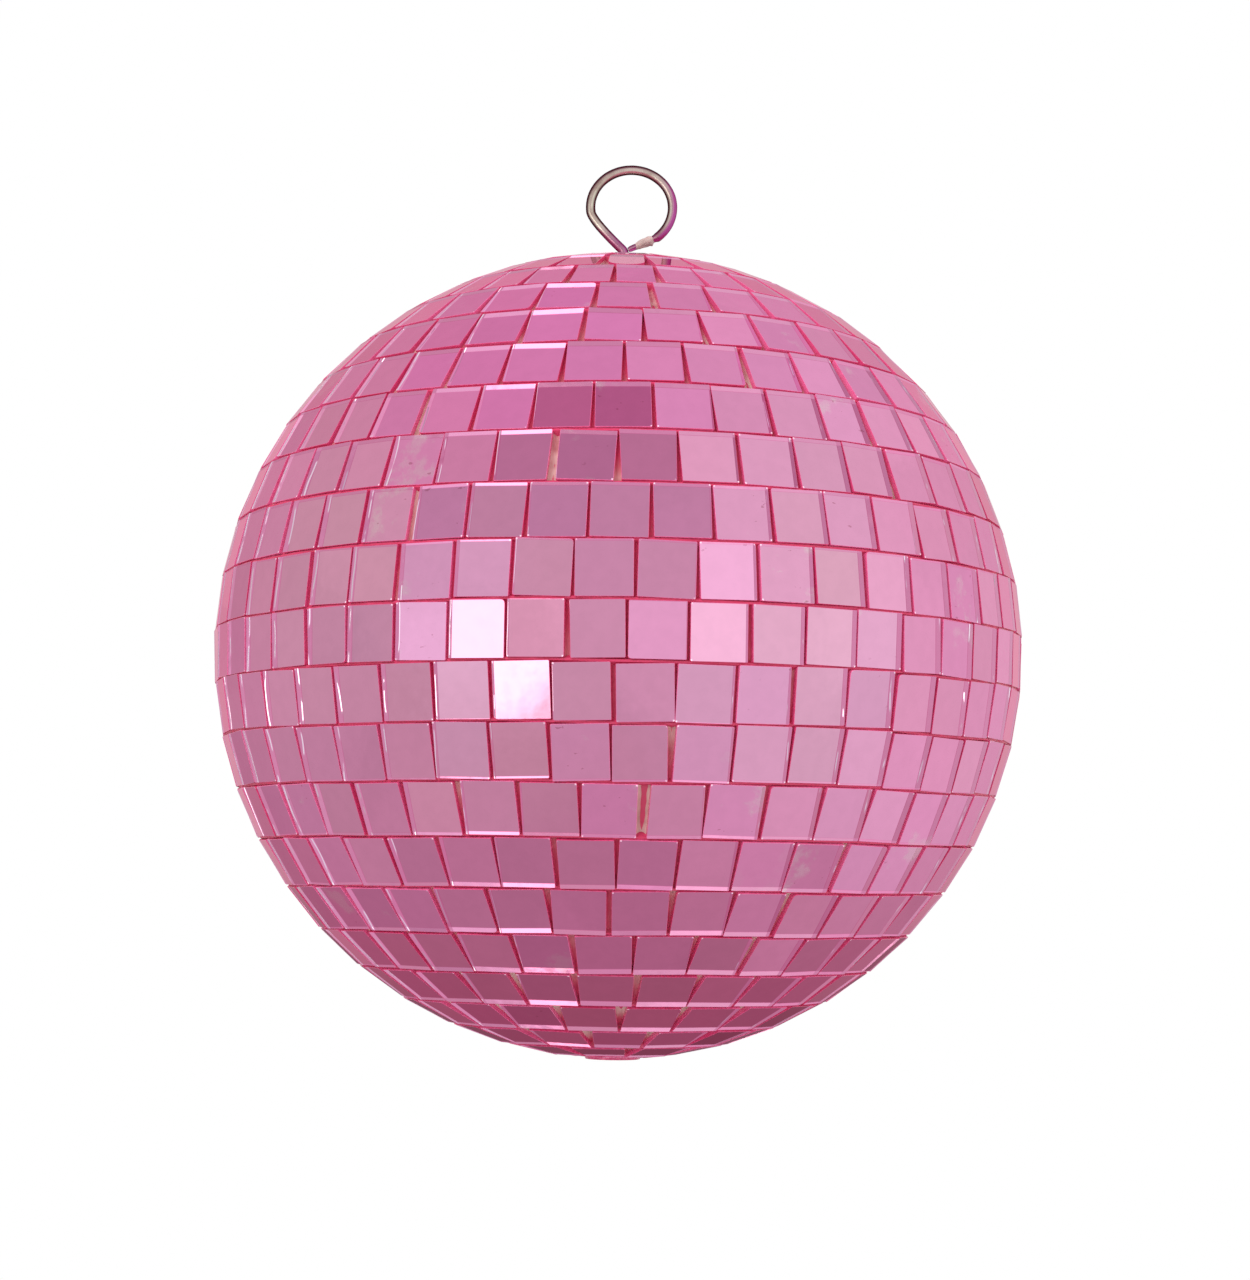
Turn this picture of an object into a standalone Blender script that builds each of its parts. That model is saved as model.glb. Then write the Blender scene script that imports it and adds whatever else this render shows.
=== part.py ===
"""Mirror ball, 150 mm across, hung by a wire loop that swivels in a bush at its top.

The origin is the centre of the ball. +Z is the axis it hangs and spins on, and the loop's
eye faces -Y. Lengths are in metres. Each row of tiles is one ring: flat glass tiles on a
backing strip, with a V joint between neighbours. The rings are glued on a hollow core.
"""

import math

import bmesh
import bpy
from mathutils import Vector

# The ball and its tiles
BALL_RADIUS = 0.075  # to the outer corners of a full tile
TILE_SIDE = 0.0096  # a 10 mm tile as cut, less its share of the joint
NARROW_TILE_SIDE = 0.0073  # the rows round the loop have tiles cut narrower
NARROW_ABOVE = math.radians(55.0)
GLASS = 0.0012
BACKING = 0.0004
JOINT = 0.00035
FACE_DISTANCE = math.sqrt(BALL_RADIUS**2 - TILE_SIDE**2 / 2)

# Rows, counted from the top
ROW_COUNT = 23
MIDDLE_ROW = 12
ROW_STEP = math.radians(7.62)
MIDDLE_ROW_LATITUDE = math.radians(-1.47)  # the tiler's middle row sits a little low
LAST_ROW_END = math.radians(-85.8)
# Where each row's first joint right of the front falls, in tiles. The rows were laid by hand.
ROW_STAGGER = (
    0.25, 0.70, 0.53, 0.78, 0.53, 0.34, 0.04, 0.52, 0.93, 0.49, 0.26, 0.14,
    0.93, 0.90, 0.43, 0.01, 0.93, 0.32, 0.38, 0.12, 0.60, 0.30, 0.75,
)  # fmt: skip

# Hollow core, two halves with a lap joint at the equator
CORE_RADIUS = 0.0727
CORE_WALL = 0.0024
CORE_STEPS = 24
CORE_ARC_STEPS = 7
LAP_HEIGHT = 0.003
CLEARANCE = 0.0003

# Hanger, from the top down. Z is a height above the ball's centre.
WIRE_RADIUS = 0.0009
BUSH_BORE = 0.0012
BUSH_RADIUS = 0.0032
BUSH_FLANGE_RADIUS = 0.0044
BUSH_TOP_Z = 0.0744
BUSH_END_Z = 0.0650
FLANGE_THICKNESS = 0.0014
BUSH_CHAMFER = 0.0004
PLATE_RADIUS = 0.0110
PLATE_TOP_Z = 0.0688
PLATE_THICKNESS = 0.0012
NUT_RADIUS = 0.0060  # to its corners
NUT_HEIGHT = 0.0020
WASHER_RADIUS = 0.0036
WASHER_THICKNESS = 0.0008
FERRULE_RADIUS = 0.0019
FERRULE_LENGTH = 0.0040
CRIMP_GAP = 0.0001
TURNED_STEPS = 24

# Wire loop. Its eye is a little wider than high, and stands right of the stem.
EYE_X = 0.0013
EYE_Z = 0.0854  # where it is widest
EYE_HALF_WIDTH = 0.00778
EYE_RISE = 0.0072
LEFT_SAG = 0.0068
RIGHT_SAG = 0.0074
EYE_STEP = math.radians(12)
EYE_END = math.radians(146)
LEG_ANGLE = math.radians(45)
NECK_RADIUS = 0.0012
TAIL_LENGTH = 0.0046
WIRE_SIDES = 8
BEAD_SIZE = (0.0046, 0.0028, 0.0028)
BEAD_PLACE = 0.5  # its middle, as a share of the tail's length
BEAD_GAP = 0.00012

MERGE = 0.00001  # points nearer than this are one

# Round mirror that closes the bottom
DISC_RADIUS = 0.0051
DISC_THICKNESS = 0.0019
DISC_STEPS = 32

# (colour, roughness, metallic)
MIRROR_PINK = ((0.78, 0.25, 0.50), 0.08, 1.0)
MIRROR_PINK_DISC = ((0.74, 0.22, 0.47), 0.08, 1.0)
CORE_BEIGE = ((0.66, 0.47, 0.42), 0.7, 0.0)
WIRE_STEEL = ((0.62, 0.55, 0.55), 0.22, 1.0)
GLUE_PALE = ((0.78, 0.55, 0.56), 0.45, 0.0)
BUSH_WHITE = ((0.82, 0.78, 0.76), 0.4, 0.0)
PLATE_ZINC = ((0.56, 0.56, 0.58), 0.35, 1.0)
WASHER_NYLON = ((0.86, 0.85, 0.80), 0.5, 0.0)
FERRULE_ALUMINIUM = ((0.70, 0.70, 0.72), 0.3, 1.0)


def clear_scene():
    for old in list(bpy.data.objects):
        bpy.data.objects.remove(old, do_unlink=True)


def new_collection(name, rendered=True):
    made = bpy.data.collections.new(name)
    made.hide_render = not rendered
    bpy.context.scene.collection.children.link(made)
    return made


def material(name, finish):
    colour, roughness, metallic = finish
    mat = bpy.data.materials.new(name)
    mat.use_nodes = True
    shader = mat.node_tree.nodes["Principled BSDF"]
    shader.inputs["Base Color"].default_value = (*colour, 1.0)
    shader.inputs["Roughness"].default_value = roughness
    shader.inputs["Metallic"].default_value = metallic
    return mat


def add_object(name, data, finish, collection):
    made = bpy.data.objects.new(name, data)
    data.materials.append(material(name, finish))
    collection.objects.link(made)
    return made


def add_cutter(name, data, collection):
    made = bpy.data.objects.new(name, data)
    made.hide_render = True
    made.display_type = "WIRE"
    collection.objects.link(made)
    return made


def carry(name, pieces, collection):
    """Hangs the pieces that move together on one empty, which stands on the swivel's axis."""
    axis = bpy.data.objects.new(name, None)
    axis.empty_display_size = BALL_RADIUS
    collection.objects.link(axis)
    for piece in pieces:
        piece.parent = axis


def cut(target, cutter):
    modifier = target.modifiers.new("cut_" + cutter.name, "BOOLEAN")
    modifier.operation = "DIFFERENCE"
    modifier.solver = "EXACT"
    modifier.object = cutter


def mesh_from(name, bm):
    data = bpy.data.meshes.new(name)
    bm.to_mesh(data)
    bm.free()
    return data


def turned(name, profile, finish, collection, steps=TURNED_STEPS):
    """A solid of revolution about Z. The profile lists (radius, z) down its outer side, then
    back up its bore. It is left open where both of its ends are on the axis."""
    bm = bmesh.new()
    points = [bm.verts.new((radius, 0, z)) for radius, z in profile]
    for first, second in zip(points, points[1:]):
        bm.edges.new((first, second))
    if profile[0][0] > 0:
        bm.edges.new((points[-1], points[0]))
    made = add_object(name, mesh_from(name, bm), finish, collection)
    screw = made.modifiers.new("turn", "SCREW")
    screw.steps = steps
    screw.render_steps = steps
    screw.use_merge_vertices = True
    screw.merge_threshold = MERGE
    return made


# Tile rows


def sector_point(latitude, out, up, across):
    """A point given on the plane of the tile that faces +X: out along its normal from the
    ball's centre, up its face, and across it."""
    return Vector(
        (
            out * math.cos(latitude) - up * math.sin(latitude),
            across,
            out * math.sin(latitude) + up * math.cos(latitude),
        )
    )


def edge_up(centre, edge, out, half_width):
    """How far up the tile's plane its edge lies, for the edge's latitude to be met where a
    straight edge comes nearest to its neighbour row: in its middle on the side of the pole,
    and at its two ends on the side of the equator. half_width gives the edge's half width
    at a distance from the axis."""
    up = out * math.tan(edge - centre)
    if (edge - centre) * edge > 0:
        return up
    for _ in range(8):
        from_axis = out * math.cos(centre) - up * math.sin(centre)
        to_end = math.hypot(from_axis, half_width(from_axis))
        up = out * math.tan(math.atan(math.tan(edge) * to_end / from_axis) - centre)
    return up


def sector_section(centre, edge, side, half_angle):
    """The tile's section along one edge: glass, joint and backing, from left to right."""

    def joint_half(from_axis):
        return from_axis * math.tan(half_angle)

    def tile_half(from_axis):
        return min(side, 2 * joint_half(from_axis) - JOINT) / 2

    section = []
    for out, half in (
        (FACE_DISTANCE, tile_half),
        (FACE_DISTANCE - GLASS, joint_half),
        (FACE_DISTANCE - GLASS - BACKING, joint_half),
    ):
        up = edge_up(centre, edge, out, half)
        across = half(out * math.cos(centre) - up * math.sin(centre))
        section.append(sector_point(centre, out, up, across))
    mirrored = [Vector((p.x, -p.y, p.z)) for p in section]
    return mirrored[::-1] + section


def row_band(row):
    """The latitudes of a row's middle, upper edge and lower edge, with half a joint left."""
    middle = MIDDLE_ROW_LATITUDE + (MIDDLE_ROW - row) * ROW_STEP
    upper = middle + ROW_STEP / 2
    lower = max(middle - ROW_STEP / 2, LAST_ROW_END)
    half_joint = JOINT / FACE_DISTANCE / 2
    return (upper + lower) / 2, upper - half_joint, lower + half_joint


def tile_row(row, collection):
    """One ring of tiles. A sector holds one tile, and is turned round the axis."""
    centre, upper, lower = row_band(row)
    side = NARROW_TILE_SIDE if lower > NARROW_ABOVE else TILE_SIDE
    round_row = 2 * math.pi * FACE_DISTANCE * math.cos(centre)
    count = int(round_row / (side + JOINT))
    pitch = 2 * math.pi / count

    bm = bmesh.new()
    top = [bm.verts.new(p) for p in sector_section(centre, upper, side, pitch / 2)]
    bottom = [bm.verts.new(p) for p in sector_section(centre, lower, side, pitch / 2)]
    bm.faces.new(top)
    bm.faces.new(bottom[::-1])
    for left, right in ((1, 2), (2, 3), (3, 4), (5, 0)):
        bm.faces.new((top[left], bottom[left], bottom[right], top[right]))
    bmesh.ops.spin(
        bm,
        geom=bm.verts[:] + bm.edges[:] + bm.faces[:],
        cent=(0, 0, 0),
        axis=(0, 0, 1),
        angle=pitch * (count - 1),
        steps=count - 1,
        use_duplicate=True,
    )
    bmesh.ops.remove_doubles(bm, verts=bm.verts[:], dist=MERGE)
    bmesh.ops.recalc_face_normals(bm, faces=bm.faces[:])
    name = f"tile_row_{row:02d}"
    ring = add_object(name, mesh_from(name, bm), MIRROR_PINK, collection)
    front = math.radians(-90)
    ring.rotation_euler.z = front + (ROW_STAGGER[row - 1] - 0.5) * pitch
    return ring


# Core


def arc(radius, start, end, steps):
    """(radius, z) points along a meridian, from one latitude to another."""
    angles = [start + (end - start) * i / steps for i in range(steps + 1)]
    return [(radius * math.cos(a), radius * math.sin(a)) for a in angles]


def core_halves(collection):
    """Two bowls. The lower one's lip stands up inside the upper one's rim."""
    outer, inner = CORE_RADIUS, CORE_RADIUS - CORE_WALL
    middle = (outer + inner) / 2
    hole = BUSH_RADIUS + CLEARANCE
    rim_z = CLEARANCE / 2
    lip_z = LAP_HEIGHT - CLEARANCE
    pole = math.radians(90)

    upper = arc(outer, math.acos(hole / outer), math.asin(rim_z / outer), CORE_ARC_STEPS)
    upper += [(middle + CLEARANCE / 2, rim_z), (middle + CLEARANCE / 2, LAP_HEIGHT)]
    lap = math.asin(LAP_HEIGHT / inner)
    upper += arc(inner, lap, math.acos(hole / inner), CORE_ARC_STEPS)

    lower = [(0, -inner)]
    lower += arc(inner, -pole, math.asin(lip_z / inner), CORE_ARC_STEPS)[1:]
    lower += [(middle - CLEARANCE / 2, lip_z), (middle - CLEARANCE / 2, -rim_z)]
    lower += arc(outer, -math.asin(rim_z / outer), -pole, CORE_ARC_STEPS)[:-1]
    lower += [(0, -outer)]
    return [
        turned("core_upper", upper, CORE_BEIGE, collection, CORE_STEPS),
        turned("core_lower", lower, CORE_BEIGE, collection, CORE_STEPS),
    ]


# Hanger


def ring_profile(outer, bore, top, bottom):
    return [(outer, top), (outer, bottom), (bore, bottom), (bore, top)]


def hanger_bush(collection):
    """A flanged bush that the loop's stem turns in, with its mouth chamfered for the bend."""
    under = BUSH_TOP_Z - FLANGE_THICKNESS
    profile = [
        (BUSH_FLANGE_RADIUS - BUSH_CHAMFER, BUSH_TOP_Z),
        (BUSH_FLANGE_RADIUS, BUSH_TOP_Z - BUSH_CHAMFER),
        (BUSH_FLANGE_RADIUS, under),
        (BUSH_RADIUS, under),
        (BUSH_RADIUS, BUSH_END_Z),
        (BUSH_BORE, BUSH_END_Z),
        (BUSH_BORE, BUSH_TOP_Z - BUSH_CHAMFER),
        (BUSH_BORE + BUSH_CHAMFER, BUSH_TOP_Z),
    ]
    return turned("hanger_bush", profile, BUSH_WHITE, collection)


def spreader_plate(collection):
    """A steel washer under the top of the core, which spreads the ball's weight."""
    hole = BUSH_RADIUS + CLEARANCE
    bottom = PLATE_TOP_Z - PLATE_THICKNESS
    profile = ring_profile(PLATE_RADIUS, hole, PLATE_TOP_Z, bottom)
    return turned("spreader_plate", profile, PLATE_ZINC, collection)


def bush_nut(collection, cutters):
    """A hexagonal nut that holds the bush and the plate to the core."""
    top = PLATE_TOP_Z - PLATE_THICKNESS - CLEARANCE
    middle = Vector((0, 0, top - NUT_HEIGHT / 2))
    blank = bmesh.new()
    bmesh.ops.create_cone(
        blank,
        cap_ends=True,
        segments=6,
        radius1=NUT_RADIUS,
        radius2=NUT_RADIUS,
        depth=NUT_HEIGHT,
    )
    nut = add_object("bush_nut", mesh_from("bush_nut", blank), BUSH_WHITE, collection)
    drill = bmesh.new()
    bmesh.ops.create_cone(
        drill,
        cap_ends=True,
        segments=TURNED_STEPS,
        radius1=BUSH_RADIUS + CLEARANCE,
        radius2=BUSH_RADIUS + CLEARANCE,
        depth=NUT_HEIGHT * 2,
    )
    bore = add_cutter("nut_bore", mesh_from("nut_bore", drill), cutters)
    nut.location = middle
    bore.location = middle
    cut(nut, bore)
    return nut


def swivel_washer(collection):
    top = BUSH_END_Z - CLEARANCE
    profile = ring_profile(WASHER_RADIUS, BUSH_BORE, top, top - WASHER_THICKNESS)
    return turned("swivel_washer", profile, WASHER_NYLON, collection)


def stop_ferrule(collection):
    """The crimped sleeve on the end of the stem, which carries the ball."""
    top = BUSH_END_Z - WASHER_THICKNESS - 2 * CLEARANCE
    bore = WIRE_RADIUS + CRIMP_GAP
    profile = ring_profile(FERRULE_RADIUS, bore, top, top - FERRULE_LENGTH)
    return turned("stop_ferrule", profile, FERRULE_ALUMINIUM, collection)


# Loop


def eye_height(angle):
    """The half height of the quarter of the eye that this angle falls in."""
    if abs(angle) < math.radians(90):
        return EYE_RISE
    return RIGHT_SAG if angle > 0 else LEFT_SAG


def eye_point(angle):
    """A point on the eye's centre line. The angle runs clockwise from its top."""
    x = EYE_X + EYE_HALF_WIDTH * math.sin(angle)
    return Vector((x, 0, EYE_Z + eye_height(angle) * math.cos(angle)))


def eye_heading(angle):
    """The direction of the eye's centre line, clockwise."""
    across = EYE_HALF_WIDTH * math.cos(angle)
    return Vector((across, 0, -eye_height(angle) * math.sin(angle))).normalized()


def eye_start():
    """The angle at which the eye runs on into its straight left leg."""
    rise = EYE_HALF_WIDTH * math.sin(LEG_ANGLE)
    run = LEFT_SAG * math.cos(LEG_ANGLE)
    return -(math.radians(180) - math.atan2(rise, run))


def wire_path():
    """The wire's centre line: up the stem, round the neck, round the eye and down its tail."""
    stem_end = BUSH_END_Z - WASHER_THICKNESS - 2 * CLEARANCE - FERRULE_LENGTH
    path = [Vector((0, 0, stem_end)), Vector((0, 0, BUSH_TOP_Z))]
    start = eye_start()
    leg_top = eye_point(start)
    along = Vector((-math.cos(LEG_ANGLE), 0, math.sin(LEG_ANGLE)))
    leg_foot = leg_top - along * (leg_top.x / along.x)
    turn = math.radians(90) - LEG_ANGLE
    reach = NECK_RADIUS * math.tan(turn / 2)
    centre = leg_foot + Vector((-NECK_RADIUS, 0, -reach))
    for share in (0, 0.25, 0.5, 0.75, 1):
        bend = Vector((math.cos(turn * share), 0, math.sin(turn * share)))
        path.append(centre + bend * NECK_RADIUS)
    path.append(leg_top)
    first = int(start / EYE_STEP)
    last = int(EYE_END / EYE_STEP)
    path += [eye_point((i + 0.5) * EYE_STEP) for i in range(first, last)]
    tail = eye_point(EYE_END)
    return path + [tail, tail + eye_heading(EYE_END) * TAIL_LENGTH]


def wire_curve(name, radius):
    curve = bpy.data.curves.new(name, "CURVE")
    curve.dimensions = "3D"
    curve.bevel_depth = radius
    curve.bevel_resolution = WIRE_SIDES // 2 - 2
    curve.use_fill_caps = True
    path = wire_path()
    spline = curve.splines.new("POLY")
    spline.points.add(len(path) - 1)
    for point, place in zip(spline.points, path):
        point.co = (*place, 1)
        point.tilt = math.pi / WIRE_SIDES  # puts a flat of the wire across the eye's crown
    return curve


def hanging_loop(collection):
    curve = wire_curve("hanging_loop", WIRE_RADIUS)
    return add_object("hanging_loop", curve, WIRE_STEEL, collection)


def loop_bead(collection, cutters):
    """The lump of glue that closes the loop: it holds the wire's tail against its neck."""
    tail, tip = wire_path()[-2:]
    along = tip - tail
    bead_bm = bmesh.new()
    bmesh.ops.create_uvsphere(bead_bm, u_segments=16, v_segments=10, radius=0.5)
    bmesh.ops.scale(bead_bm, vec=BEAD_SIZE, verts=bead_bm.verts[:])
    bead = add_object("loop_bead", mesh_from("loop_bead", bead_bm), GLUE_PALE, collection)
    bead.data.shade_smooth()
    bead.location = tail + along * BEAD_PLACE
    bead.rotation_euler.y = -math.atan2(along.z, along.x)

    curve = wire_curve("bead_bore", WIRE_RADIUS + BEAD_GAP)
    tube = add_cutter("bead_bore_curve", curve, cutters)
    bpy.context.view_layer.update()
    graph = bpy.context.evaluated_depsgraph_get()
    bore_mesh = bpy.data.meshes.new_from_object(tube.evaluated_get(graph))
    weld = bmesh.new()
    weld.from_mesh(bore_mesh)
    bmesh.ops.remove_doubles(weld, verts=weld.verts[:], dist=MERGE)
    weld.to_mesh(bore_mesh)
    weld.free()
    bore = add_cutter("bead_bore", bore_mesh, cutters)
    bore.matrix_world = tube.matrix_world.copy()
    bpy.data.objects.remove(tube)
    cut(bead, bore)
    return bead


# Bottom


def bottom_disc(collection):
    top = -BALL_RADIUS + DISC_THICKNESS
    profile = [(0, top), (DISC_RADIUS, top), (DISC_RADIUS, -BALL_RADIUS), (0, -BALL_RADIUS)]
    return turned("bottom_disc", profile, MIRROR_PINK_DISC, collection, DISC_STEPS)


def main():
    clear_scene()
    parts = new_collection("mirror_ball")
    cutters = new_collection("cutters", rendered=False)
    rows = [tile_row(row, parts) for row in range(1, ROW_COUNT + 1)]
    core = core_halves(parts)
    hanger = [hanger_bush(parts), spreader_plate(parts), bush_nut(parts, cutters)]
    loop = [hanging_loop(parts), loop_bead(parts, cutters), stop_ferrule(parts)]
    carry("ball_axis", rows + core + hanger + [bottom_disc(parts)], parts)
    carry("washer_axis", [swivel_washer(parts)], parts)
    carry("loop_axis", loop, parts)


main()
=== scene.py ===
"""The finished look of the mirror ball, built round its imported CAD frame.

Every row of the CAD is rebuilt as single glass tiles, each cut, laid and tilted a little
differently, on a bed of glue. The wire loop, its glue, the core and the hanger are rebuilt in
finer shapes. Lengths are in metres, and the frame is the CAD's: +Z is the hanging axis, and
the camera stands on the side of -Y.
"""

import math
import random

import bmesh
import bpy
from mathutils import Matrix, Vector, noise


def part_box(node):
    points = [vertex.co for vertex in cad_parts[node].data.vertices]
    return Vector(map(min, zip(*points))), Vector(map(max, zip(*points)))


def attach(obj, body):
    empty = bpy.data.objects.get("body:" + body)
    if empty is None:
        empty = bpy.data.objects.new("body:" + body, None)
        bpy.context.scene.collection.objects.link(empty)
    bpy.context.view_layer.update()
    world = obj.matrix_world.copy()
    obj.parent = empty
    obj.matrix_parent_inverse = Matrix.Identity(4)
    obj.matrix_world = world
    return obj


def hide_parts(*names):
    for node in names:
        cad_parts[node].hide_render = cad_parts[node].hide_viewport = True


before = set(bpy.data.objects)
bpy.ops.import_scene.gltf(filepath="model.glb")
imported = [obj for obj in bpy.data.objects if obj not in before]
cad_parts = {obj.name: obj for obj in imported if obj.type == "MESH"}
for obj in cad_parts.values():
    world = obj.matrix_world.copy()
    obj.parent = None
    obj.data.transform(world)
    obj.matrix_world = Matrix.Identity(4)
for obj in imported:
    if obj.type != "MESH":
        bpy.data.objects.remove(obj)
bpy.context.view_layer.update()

MM = 0.001
TINY = 1e-6
Y_AXIS = Vector((0, 1, 0))
Z_AXIS = Vector((0, 0, 1))

# Tiles
MIRROR, CUT, GLUE = range(3)  # a tile row's material slots
FACE_LIMIT = 0.0745  # a CAD facet farther than this from the centre is the front of a tile
SAME_PLANE = 0.9999  # facets whose normals' product is above this are of one tile
TILE_DEPTH = 1.35 * MM
GLASS_DEPTH = 1.2 * MM  # from the front of the glass down to its silvering
GLASS_IOR = 1.5
ARRIS = 0.05 * MM  # the ground edge of a tile
ARRIS_SLOPE = 0.7  # how deep it goes, as a share of its width
CORNER = 0.10 * MM
CORNER_SPREAD = (0.6, 1.6)
PALE_CORNER_REACH = 0.42 * MM  # how far from a corner the glass can be made pale
CHIP_SHARE = 0.05  # how many corners are chipped
CHIP = (0.35 * MM, 0.9 * MM)
TILE_GAIN = 0.03 * MM  # how much farther than its CAD face each side of a tile stands
SIZE_ERROR = 0.07 * MM  # the most that a tile is larger or smaller than its place
SHIFT_ACROSS = 0.14 * MM
SHIFT_UP = 0.05 * MM
ROW_WANDER = 0.45 * MM  # how far the hand-laid rows wave up and down
TURN = math.radians(0.9)
MOST_TURN = 2 * TURN
TILT = math.radians(0.5)
SHORT_SHARE = 0.20  # how many tiles are cut short on one side
SHORT_BY = 0.75 * MM
ROUNDED_ROW = 3  # one tile of this row, in front of the loop's foot, has a rounded end
ROUND_BELOW = 3.4 * MM
ROUND_ABOVE = 1.0 * MM
GLUE_COVER = 0.55  # how much glue is smeared over the rounded tile
KICK_TO_LAMP = -0.30  # how far a flaw in a cut side turns the glass's normal along X
KICK_TO_WINDOW = 0.26
CUT_RIPPLE = 0.04  # how uneven the cut sides of the glass are

# The glue that the tiles lie on
BED_RADIUS = 0.07335
BED_BACK = 0.0730  # where the bed meets the core
BED_LUMPS = 0.10 * MM
BED_OVERLAP = math.radians(0.3)
BED_STEP = 0.06 * MM  # between the beds of two neighbour rows, where they overlap
BED_RISE = 0.07  # where the bed rises to each side of its row, as a share of the row
BED_STEPS = 6  # up a row, and along each tile
RIDGE_RADIUS = 0.07445  # the glue that stands in the joint between two rows
GROUT_DEPTH = 0.80 * MM  # how far down the glue stands between two tiles
GROUT_SAG = 0.18 * MM
GROUT_SAG_SHARE = 0.25  # how much more it sags for each metre of a joint's width
GROUT_LUMPS = 0.12 * MM
GROUT_REACH = 0.05  # how far it goes past both ends of a joint, as a share of its length
GROUT_STEPS_UP = 8
GROUT_STEPS_ACROSS = 6
NARROW_JOINT = 0.85 * MM
WIDE_JOINT = 1.75 * MM

# Camera
VIEW_DISTANCE = 0.525
VIEW_ELEVATION = -4.7
VIEW_ROLL = math.radians(0.82)
VIEW_SHIFT = (0.00523, 0.01195)
LENS = 78.75
SENSOR = 36.0
NEAREST = 0.01


# Nodes


class Nodes:
    """Adds nodes to a tree. An input given as a socket is linked, and any other is set."""

    def __init__(self, tree):
        self.tree = tree

    def add(self, kind, inputs=None, **settings):
        node = self.tree.nodes.new("ShaderNode" + kind)
        for name, value in settings.items():
            setattr(node, name, value)
        for name, value in (inputs or {}).items():
            self.feed(node.inputs[name], value)
        return node

    def feed(self, socket, value):
        if isinstance(value, bpy.types.NodeSocket):
            self.tree.links.new(value, socket)
        else:
            socket.default_value = value

    def math(self, operation, first, second=0.0, clamp=False):
        inputs = {0: first, 1: second}
        return self.add("Math", inputs, operation=operation, use_clamp=clamp).outputs[0]

    def plus(self, first, second):
        return self.math("ADD", first, second)

    def minus(self, first, second):
        return self.math("SUBTRACT", first, second)

    def times(self, first, second):
        return self.math("MULTIPLY", first, second)

    def over(self, first, second):
        return self.math("DIVIDE", first, second)

    def vector(self, operation, first, second=(0, 0, 0)):
        return self.add("VectorMath", {0: first, 1: second}, operation=operation).outputs[0]

    def dot(self, first, second):
        node = self.add("VectorMath", {0: first, 1: second}, operation="DOT_PRODUCT")
        return node.outputs["Value"]

    def scaled(self, vector, factor):
        node = self.add("VectorMath", {0: vector, "Scale": factor}, operation="SCALE")
        return node.outputs[0]

    def split(self, vector):
        return self.add("SeparateXYZ", {0: vector}).outputs

    def smooth(self, value, low, high, to_low=0.0, to_high=1.0):
        inputs = {0: value, 1: low, 2: high, 3: to_low, 4: to_high}
        node = self.add("MapRange", inputs, interpolation_type="SMOOTHSTEP")
        return node.outputs[0]

    def blend(self, factor, first, second, kind="MIX"):
        node = self.add("Mix", data_type="RGBA", blend_type=kind)
        for socket, value in ((0, factor), (6, first), (7, second)):
            self.feed(node.inputs[socket], value)
        return node.outputs[2]

    def ramp(self, factor, stops):
        node = self.add("ValToRGB", {0: factor})
        elements = node.color_ramp.elements
        while len(elements) < len(stops):
            elements.new(0.5)
        for element, (position, colour) in zip(elements, stops):
            element.position = position
            element.color = (*colour, 1)
        return node.outputs[0]

    def place(self):
        return self.add("TexCoord").outputs["Object"]

    def noise(self, scale, detail=3.0, place=None, roughness=0.5, stretch=None):
        """Noise around 0.5. Its scale is in lumps to the metre."""
        place = place or self.place()
        if stretch:
            place = self.vector("MULTIPLY", place, stretch)
        inputs = {"Vector": place, "Scale": scale, "Detail": detail, "Roughness": roughness}
        return self.add("TexNoise", inputs).outputs[0]

    def bump(self, height, strength, distance, normal=None):
        inputs = {"Height": height, "Strength": strength, "Distance": distance}
        if normal:
            inputs["Normal"] = normal
        return self.add("Bump", inputs).outputs[0]

    def attribute(self, name):
        return self.add("Attribute", attribute_name=name).outputs["Vector"]


def rgb(colour):
    return (*colour, 1.0)


def new_material(name):
    mat = bpy.data.materials.new(name)
    mat.use_nodes = True
    return mat, Nodes(mat.node_tree), mat.node_tree.nodes["Principled BSDF"].inputs


# Materials

GLASS_PINK = (0.93, 0.400, 0.600)
GLASS_MAGENTA = (0.925, 0.380, 0.612)
GLASS_DUSKY = (0.92, 0.415, 0.588)
EDGE_CRIMSON = (0.62, 0.045, 0.16)
EDGE_PINK = (0.78, 0.15, 0.35)
STRIP_PINK = (0.95, 0.31, 0.54)
GRAZING_PINK = (0.88, 0.39, 0.59)
PALE_PINK = (1.0, 0.74, 0.88)
# Painted glow and shade: the crimson of narrow joints, for the light from the cut glass
JOINT_GLOW_AND_SHADE = (0.55, 0.035, 0.11)
BED_DARK = (0.42, 0.20, 0.19)
BED_BEIGE = (0.56, 0.33, 0.31)
BED_PALE = (0.64, 0.43, 0.40)
GLUE_HAZE = (0.56, 0.29, 0.34)
GLUE_HOLLOW_TONE = (0.34, 0.22, 0.20)
GLUE_TAN = (0.46, 0.32, 0.30)
GLUE_PALE = (0.56, 0.42, 0.39)
SMUDGE = (0.86, 0.80, 0.72)
FLECK = (0.42, 0.10, 0.16)
WIRE_BEIGE = (0.88, 0.74, 0.62)
WIRE_TARNISH = (0.54, 0.39, 0.32)
WIRE_MAGENTA = (0.50, 0.085, 0.30)
WIRE_RIM_DARK = (0.12, 0.04, 0.05)


def tile_axis(nodes, name):
    """One of the directions that a tile's vertices hold, in world space."""
    spaces = {"vector_type": "VECTOR", "convert_from": "OBJECT", "convert_to": "WORLD"}
    return nodes.add("VectorTransform", {0: nodes.attribute(name)}, **spaces).outputs[0]


def share_to_side(nodes, slant, reach, near_side, far_side):
    """How much of its run under the glass a ray has made when it meets the side ahead."""
    run = nodes.times(slant, reach)
    ahead = nodes.math("GREATER_THAN", run, 0.0)
    room = nodes.add("Mix", {0: ahead, 2: far_side, 3: near_side}, data_type="FLOAT").outputs[0]
    length = nodes.math("MAXIMUM", nodes.math("ABSOLUTE", run), TINY)
    return nodes.over(room, length)


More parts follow.
